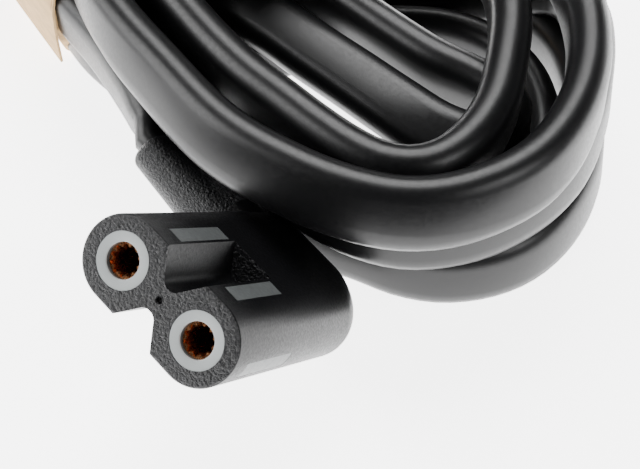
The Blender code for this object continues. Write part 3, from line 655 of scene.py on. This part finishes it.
    def build(self, pieces_on_it: list[bpy.types.Object]) -> None:
        """Makes the cord as one closed mesh tube.

        Args:
            pieces_on_it: the plug's pieces; not used.
        """
        places, leans = self.path()
        rings = []
        for index, (place, lean) in enumerate(zip(places, leans)):
            ahead = places[min(index + 1, len(places) - 1)]
            behind = places[max(index - 1, 0)]
            along = (ahead - behind).normalized()
            left = Vector((0, 0, 1)).cross(along).normalized()
            turn = math.radians(lean)
            tall = along.cross(left) * math.cos(turn) + left * math.sin(turn)
            wide = along.cross(tall)
            held = self.gripped + (1.0 - self.gripped) * smooth(index * self.spacing / self.gripped_length)
            ring = [place + wide * (x * held) + tall * (z * held) for x, z in self.section()]
            rings.append([tuple(point * MM) for point in ring])
        cord = finished("cord", lofted("cord", rings), [GLOSSY_PVC])
        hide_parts("cord_lead", "cord_hank", "cord_tail")


@dataclass
class Connector:
    """The right-angled two-pole connector, in its own frame: X across the bores, Y into the body, Z up."""

    face_centre: tuple[float, float, float] = (-4.42, -11.946, 21.766)
    turns: tuple[float, float, float] = (-44.2, 19.8, -31.4)
    half_pitch: float = 4.3
    lobe: float = 3.62
    depth: float = 27.8
    face_edge: float = 0.22
    rear_corner: float = 5.5
    rear_edge: float = 1.2
    notch_length: float = 11.5
    relief_reach: float = 18.4
    relief_half_width: float = 3.45
    relief_tip_half: float = 2.1
    relief_root_half: float = 3.15
    relief_squareness: float = 0.75
    relief_points: int = 60
    relief_rounding: float = 0.8
    relief_setback: float = 0.35
    ring: float = 2.3
    bore: float = 1.45
    insert_depth: float = 13.0
    window: tuple[float, float, float, float] = (2.46, 10.82, 2.5, 3.95)
    seam: float = 0.012
    overrun: float = 1.0

    def matrix(self) -> Matrix:
        """From the connector's own frame, in millimetres, to its place, in metres."""
        turn = Euler([math.radians(part) for part in self.turns], "YXZ").to_matrix().to_4x4()
        return Matrix.Translation(Vector(self.face_centre) * MM) @ turn @ Matrix.Scale(MM, 4)

    def hull(self, grow: float) -> bpy.types.Mesh:
        """The overmould without its cuts, its rear rounded most at the outer corner.

        Args:
            grow: how far its sides stand out beyond their real place.

        Returns:
            The closed mesh.
        """
        end = self.half_pitch + self.lobe
        lobe_steps = 32
        short_of_notch_end = 0.1
        front_turns = [math.radians(22.5 * step) for step in range(5)]
        rear_turns = [math.radians(7.5 * step) for step in range(13)]
        depths = [self.face_edge * (1 - math.cos(turn)) for turn in front_turns]
        depths.append(self.notch_length - short_of_notch_end)
        depths += [self.depth - self.rear_corner * (1 - math.sin(turn)) for turn in rear_turns]
        rings = []
        for depth in depths:
            front = rounding_inset(depth, self.face_edge)
            edge = rounding_inset(self.depth - depth, self.rear_edge)
            corner = rounding_inset(self.depth - depth, self.rear_corner)
            half = self.lobe - front - edge + grow
            outline = arc((end - corner - front + grow - half, 0.0), half, -90, 90, lobe_steps)
            outline += arc((half - (end - edge - front + grow), 0.0), half, 90, 270, lobe_steps)
            rings.append([(x, depth, z) for x, z in outline])
        return lofted("hull", rings)

    def notch(self, side: int) -> bpy.types.Mesh:
        """The cutter for the rounded valley between the two lobes.

        Args:
            side: 1 for the valley on top, -1 for the one below.

        Returns:
            The closed mesh.
        """
        past = self.lobe + self.overrun
        half_floor, floor, half_mouth, fillet = 0.75, 1.15, 2.2, 0.5
        slope = (half_mouth - half_floor) / (self.lobe - floor - fillet)
        # The valley's wall, and then the fillet that rounds it into the floor
        right = [(half_mouth + slope * self.overrun, past), (half_floor + 0.1, floor + fillet)]
        right += [(half_floor - 0.05, floor + 0.28), (half_floor - 0.28, floor + 0.1), (0.2, floor)]
        outline = right + [(-x, z) for x, z in reversed(right)]
        rings = [[(x, y, side * z) for x, z in outline] for y in (-self.overrun, self.notch_length)]
        return lofted("notch", rings)

    def windows(self, grow: float) -> list[bpy.types.Mesh]:
        """The insert's blocks that reach the overmould's surface.

        Args:
            grow: how far their sides stand out beyond their real place.

        Returns:
            Four blocks on the flats and two at the ends.
        """
        front, back, inner, outer = self.window
        front, back, inner, outer = front - grow, back + grow, inner - grow, outer + grow
        past = self.lobe + self.overrun
        end = self.half_pitch + past
        half = (outer - inner) / 2
        buried = 1.9
        blocks = []
        for side in (-1, 1):
            low, high = sorted((side * inner, side * outer))
            for up in (-1, 1):
                bottom, top = sorted((up * buried, up * past))
                blocks.append(block((low, front, bottom), (high, back, top)))
            near, far = sorted((side * (self.half_pitch + buried), side * end))
            blocks.append(block((near, front, -half), (far, back, half)))
        return blocks

    def relief(self) -> bpy.types.Mesh:
        """The strain relief: a rounded flat section that thins from the body to its tip.

        Returns:
            The closed mesh.
        """
        middle = self.depth - self.relief_setback - self.relief_half_width
        stations = [(x, 0.0, self.relief_root_half) for x in (-self.half_pitch, -self.half_pitch - self.lobe)]
        for degrees in range(0, 91, 15):
            turn = math.radians(degrees)
            x = -self.relief_reach + self.relief_rounding * (1 - math.sin(turn))
            stations.append((x, self.relief_rounding * (1 - math.cos(turn)), self.relief_tip_half))
        rings = []
        for x, inset, half_thickness in stations:
            half_width = self.relief_half_width - inset
            outline = squared_oval(half_width, half_thickness - inset, self.relief_squareness,
                                   self.relief_points)
            rings.append([(x, middle + across, up) for across, up in outline])
        return lofted("relief", rings)

    def build_overmould(self) -> None:
        """Makes the overmould and its relief, cut for the insert, the notches and the gate dimple."""
        tools = [(Carve.CUT, self.notch(side)) for side in (1, -1)]
        radius = self.ring + self.seam
        seat = [(0, self.insert_depth), (radius, self.insert_depth), (radius, -self.overrun),
                (0, -self.overrun)]
        for x in (-self.half_pitch, self.half_pitch):
            tools.append((Carve.CUT, moved(turned("seat", seat, ROUND_STEPS), Matrix.Translation((x, 0, 0)))))
        tools += [(Carve.CUT, mesh) for mesh in self.windows(self.seam)]
        dimple = [(0, 0.3), (0.16, 0.26), (0.28, 0.05), (0.34, -0.02), (0.34, -self.overrun),
                  (0, -self.overrun)]
        dimple_steps = 24
        tools.append((Carve.CUT, turned("dimple", dimple, dimple_steps)))
        tools.append((Carve.JOIN, self.relief()))
        mesh = carved(self.hull(0.0), tools)
        facing = -0.7
        before_rear = self.depth - 1.5
        relief_side = -(self.half_pitch + self.lobe) + 0.3
        behind_notch = self.notch_length + 1.0
        # The face, the rear and the relief take the spark grain; the sides take the darker side finish, which
        # is painted shade.
        for polygon in mesh.polygons:
            on_face = polygon.normal.y < facing
            on_rear = polygon.center.y > before_rear
            on_relief = polygon.center.x < relief_side and polygon.center.y > behind_notch
            polygon.material_index = 1 if on_face or on_rear or on_relief else 0
        piece = finished("connector_moulding", moved(mesh, self.matrix()),
                         [SIDE_PAINTED_SHADE, SPARK_GRAIN], 30.0)
        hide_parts("connector_body")

    def build_insert(self) -> None:
        """Makes the light core: two rings round the bores and the windows, flush with the overmould; the
        windows take a darker copy of its plastic as painted shade.
        """
        recess = 0.03
        floor = self.insert_depth - 1.0
        below_surface = 0.015
        rings_end = 1.5
        profile = [(0, self.insert_depth), (self.ring, self.insert_depth), (self.ring, recess),
                   (self.bore + 0.12, recess), (self.bore + 0.03, recess + 0.04),
                   (self.bore, recess + 0.15), (self.bore, floor), (0, floor)]
        tubes = [moved(turned("socket", profile, ROUND_STEPS), Matrix.Translation((x, 0, 0)))
                 for x in (-self.half_pitch, self.half_pitch)]
        tools = [(Carve.JOIN, tubes[1])] + [(Carve.JOIN, mesh) for mesh in self.windows(0.0)]
        tools.append((Carve.KEEP, self.hull(-below_surface)))
        mesh = carved(tubes[0], tools)
        # The rings take the light insert plastic; the windows take its darker copy, which is painted shade.
        for polygon in mesh.polygons:
            polygon.material_index = 0 if polygon.center.y < rings_end else 1
        mesh = moved(mesh, self.matrix())
        piece = finished("connector_core", mesh, [RING_PLASTIC, WINDOW_PAINTED_SHADE])
        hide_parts("connector_insert")

    def build_contact(self, number: int) -> None:
        """Makes the ribbed spring sleeve in one bore.

        Args:
            number: 1 for the bore at the strain relief's side, 2 for the other.
        """
        x = self.half_pitch * (-1 if number == 1 else 1)
        outer, inner, front, back = self.bore - 0.02, 1.12, 0.55, 11.5
        waist = inner - 0.12
        floor = back - 0.6
        profile = [(0, back), (outer, back), (outer, front), (inner + 0.1, front), (inner, front + 0.25)]
        profile += [(inner, 3.0), (waist, 4.5), (waist, 8.0), (inner, floor), (0, floor)]
        mesh = turned("sleeve", profile, ROUND_STEPS)
        ribs, rise = 11, 0.11
        for vertex in mesh.vertices:
            radius = math.hypot(vertex.co.x, vertex.co.z)
            on_inside = 0.5 < radius < outer - 0.05
            if on_inside and vertex.co.y < back - 0.3:
                wave = 1.0 + rise * math.cos(ribs * math.atan2(vertex.co.z, vertex.co.x))
                vertex.co.x *= wave
                vertex.co.z *= wave
        mesh = moved(moved(mesh, Matrix.Translation((x, 0, 0))), self.matrix())
        piece = finished(f"contact_sleeve_{number}", mesh, [COPPER], 50.0)
        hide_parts(f"contact_{number}")


@dataclass
class PaperBand:
    """The kraft band wrapped round the waist, glued where its end laps over itself."""

    half_length: float = 9.0
    inside: float = 2.03
    thickness: float = 0.26
    flat: float = 1.3
    drawn_back: float = 4.5
    drawn_from: float = 8.0
    crease: float = 0.05
    off_floor: float = 0.02
    flap_start: float = -9.3
    flap_length: float = 18.4
    stations: int = 18

    def rim(self, aside: float, up: float) -> float:
        """Where the near rim lies along the axis: it is drawn back low on the left, under the flap.

        Args:
            aside: the distance to the right of the axis.
            up: the height above the floor.

        Returns:
            The distance along the axis.
        """
        if aside > 0.0:
            return -self.half_length
        return -self.half_length + self.drawn_back * smooth((self.drawn_from - up) / self.drawn_from)

    def sleeve(self) -> bpy.types.Mesh:
        """The part that goes round the cords and follows them a little.

        Returns:
            The mesh, in metres and in its place.
        """
        rings = []
        for radius in (self.inside, self.inside + self.thickness):
            outline = WAIST.outline(radius, self.flat)
            for step in range(self.stations + 1):
                share = step / self.stations
                ring = []
                for aside, up in outline:
                    near = self.rim(aside, up)
                    along = near + (self.half_length - near) * share
                    wave = self.crease * math.sin(0.55 * along + 0.9 * aside)
                    wave *= math.sin(0.35 * up + 0.2 * along)
                    grow = 1.0 + wave / math.hypot(aside, up - WAIST.rows[1])
                    height = max(self.off_floor, WAIST.rows[1] + (up - WAIST.rows[1]) * grow)
                    ring.append(tuple(WAIST.point(along, aside * grow, height) * MM))
                rings.append(ring)
        inner, outer = rings[:self.stations + 1], rings[self.stations + 1:]
        return lofted("kraft_band", inner + outer[::-1], endless=True)

    def flap(self) -> bpy.types.Mesh:
        """The glued end of the paper, which stands off low on the left and ends in a free edge.

        Returns:
            The mesh, in metres and in its place.
        """
        line = [(-3.0, 19.3), (-5.9, 19.28), (-7.4, 18.7), (-8.25, 17.6), (-9.0, 14.6), (-9.7, 12.4),
                (-10.1, 10.6), (-10.2, 8.4), (-10.2, 6.2), (-10.15, 4.0)]
        shape = bmesh.new()
        rows = []
        for step in range(self.stations + 1):
            along = self.flap_start + self.flap_length * step / self.stations
            verts = [shape.verts.new(WAIST.point(along, aside, up)) for aside, up in line]
            rows.append([shape.edges.new(pair) for pair in zip(verts, verts[1:])])
        for near, far in zip(rows, rows[1:]):
            bmesh.ops.bridge_loops(shape, edges=near + far)
        bmesh.ops.recalc_face_normals(shape, faces=shape.faces)
        bmesh.ops.solidify(shape, geom=shape.faces, thickness=self.thickness)
        return moved(mesh_of(shape, "kraft_flap"), Matrix.Scale(MM, 4))

    def build(self) -> None:
        """Makes the band and its flap."""
        piece = finished("kraft_band", self.sleeve(), [KRAFT])
        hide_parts("paper_band")
        finished("kraft_flap", self.flap(), [KRAFT])


@dataclass
class Plug:
    """The flat two-pin plug in its own frame: Y towards the pins, the origin amid its rear end."""

    along: float = 50.0
    aside: float = -23.0
    length: float = 35.5
    half_width: float = 13.0
    half_neck: float = 8.0
    half_thickness: float = 6.85
    relief_length: float = 18.0
    rib_pitch: float = 3.0
    edge: float = 1.2
    outline_points: int = 72

    def matrix(self) -> Matrix:
        """From the plug's own frame, in millimetres, to its place, in metres."""
        place = WAIST.point(self.along, self.aside, self.half_thickness) * MM
        turn = Matrix.Rotation(math.radians(WAIST.heading), 4, "Z")
        return Matrix.Translation(place) @ turn @ Matrix.Scale(MM, 4)

    def stations(self) -> list[tuple[float, float, float, float]]:
        """The sections from the strain relief's tip to the face.

        Returns:
            For each its Y, half width, half thickness and squareness.
        """
        found = []
        # One rib of the relief: how far on each section is, and how far it stands out
        rib = ((0.0, 0.0), (0.25, 0.32), (1.65, 0.38), (1.95, 0.0))
        last_rib = -0.5
        y = -self.relief_length
        while y < last_rib:
            share = 1.0 + y / self.relief_length
            half_width = 3.5 + 1.0 * share
            half_thickness = 3.0 + 1.3 * share
            for offset, rise in rib:
                found.append((y + offset, half_width + rise, half_thickness + rise, 0.95))
            y += self.rib_pitch
        neck = 4.0
        shoulder = 16.0
        found += [(0.3, 5.6, 4.9, 0.85), (1.6, 6.9, 5.6, 0.7), (neck, self.half_neck, 6.1, 0.6)]
        for step in range(1, 9):
            share = step / 8
            half_width = self.half_neck + (self.half_width - self.half_neck) * smooth(share)
            found.append((neck + shoulder * share, half_width, 6.1 + 0.7 * smooth(share), 0.6 - 0.12 * share))
        front = self.length - self.edge
        for degrees in range(0, 91, 30):
            turn = math.radians(degrees)
            inset = self.edge * (1 - math.cos(turn))
            y = front + self.edge * math.sin(turn)
            found.append((y, self.half_width - inset, self.half_thickness - inset, 0.45))
        return found

    def build(self) -> list[bpy.types.Object]:
        """Makes the plug's moulding, and gives its pins and sleeves their finishes.

        Returns:
            The moulding, the pins and the sleeves.
        """
        rings = []
        for y, half_width, half_thickness, squareness in self.stations():
            outline = squared_oval(half_width, half_thickness, squareness, self.outline_points)
            rings.append([(across, y, up) for across, up in outline])
        mesh = moved(lofted("plug_moulding", rings), self.matrix())
        moulding = finished("plug_moulding", mesh, [SPARK_GRAIN], 50.0)
        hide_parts("plug_body")
        # The pin sleeves take the darker side finish, with its painted shade.
        metal, sleeve = NICKEL.material(), SIDE_PAINTED_SHADE.material()
        pieces = [moulding]
        for number in (1, 2):
            for name, material in ((f"plug_pin_{number}", metal), (f"pin_sleeve_{number}", sleeve)):
                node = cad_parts[name]
                node.material_slots[0].material = material
                pieces.append(node)
        return pieces


@dataclass
class Studio:
    """A white table, soft lights and the camera."""

    floor_reach: float = 3.0
    floor_glow: float = 5.0
    air: float = 0.04
    lens: float = 75.66
    sensor: float = 36.0
    eye: tuple[float, float, float] = (7.68, -73.05, 102.27)
    tilt: float = 40.0

    def build_floor(self) -> None:
        """The white table, which glows a little as a lit sweep does."""
        shape = bmesh.new()
        bmesh.ops.create_grid(shape, size=self.floor_reach)
        floor = bpy.data.objects.new("table", mesh_of(shape, "table"))
        bpy.context.scene.collection.objects.link(floor)
        white = bpy.data.materials.new("white_table")
        white.use_nodes = True
        shader = white.node_tree.nodes["Principled BSDF"]
        shader.inputs["Base Color"].default_value = (0.92, 0.92, 0.92, 1.0)
        shader.inputs["Roughness"].default_value = 0.7
        shader.inputs["Specular IOR Level"].default_value = 0.1
        shader.inputs["Emission Color"].default_value = (1.0, 1.0, 1.0, 1.0)
        shader.inputs["Emission Strength"].default_value = self.floor_glow
        floor.data.materials.append(white)

    def build_lights(self) -> None:
        """Two large soft boxes, behind the hank and to its left, and a small fill from the right."""
        target = Vector((0.005, 0.01, 0.01))
        boxes = [
            ("back_softbox", (0.02, 0.42, 0.62), 0.50, 8.0),
            ("left_softbox", (-0.60, 0.10, 0.34), 0.42, 4.5),
            ("right_softbox", (0.50, -0.25, 0.45), 0.25, 1.5),
        ]
        for name, place, size, power in boxes:
            lamp = bpy.data.lights.new(name, "AREA")
            lamp.size = size
            lamp.energy = power
            light = bpy.data.objects.new(name, lamp)
            light.location = place
            light.rotation_euler = (target - Vector(place)).to_track_quat("-Z", "Y").to_euler()
            bpy.context.scene.collection.objects.link(light)
        world = bpy.data.worlds.new("studio_air")
        world.use_nodes = True
        world.node_tree.nodes["Background"].inputs["Color"].default_value = (1.0, 1.0, 1.0, 1.0)
        world.node_tree.nodes["Background"].inputs["Strength"].default_value = self.air
        bpy.context.scene.world = world

    def build_camera(self) -> None:
        """The camera, as close as the photographer's."""
        lens = bpy.data.cameras.new("camera")
        lens.lens = self.lens
        lens.sensor_width = self.sensor
        lens.clip_start = 0.01
        camera = bpy.data.objects.new("camera", lens)
        camera.location = Vector(self.eye) * MM
        camera.rotation_euler = Euler((math.radians(self.tilt), 0.0, 0.0))
        bpy.context.scene.collection.objects.link(camera)
        bpy.context.scene.camera = camera


def main() -> None:
    """Builds the pieces in order."""
    logging.basicConfig(level=logging.INFO)
    studio = Studio()
    studio.build_camera()
    FlatCord().build(Plug().build())
    connector = Connector()
    connector.build_overmould()
    connector.build_insert()
    for number in (1, 2):
        connector.build_contact(number)
    PaperBand().build()
    studio.build_floor()
    studio.build_lights()


if __name__ == "__main__":
    main()
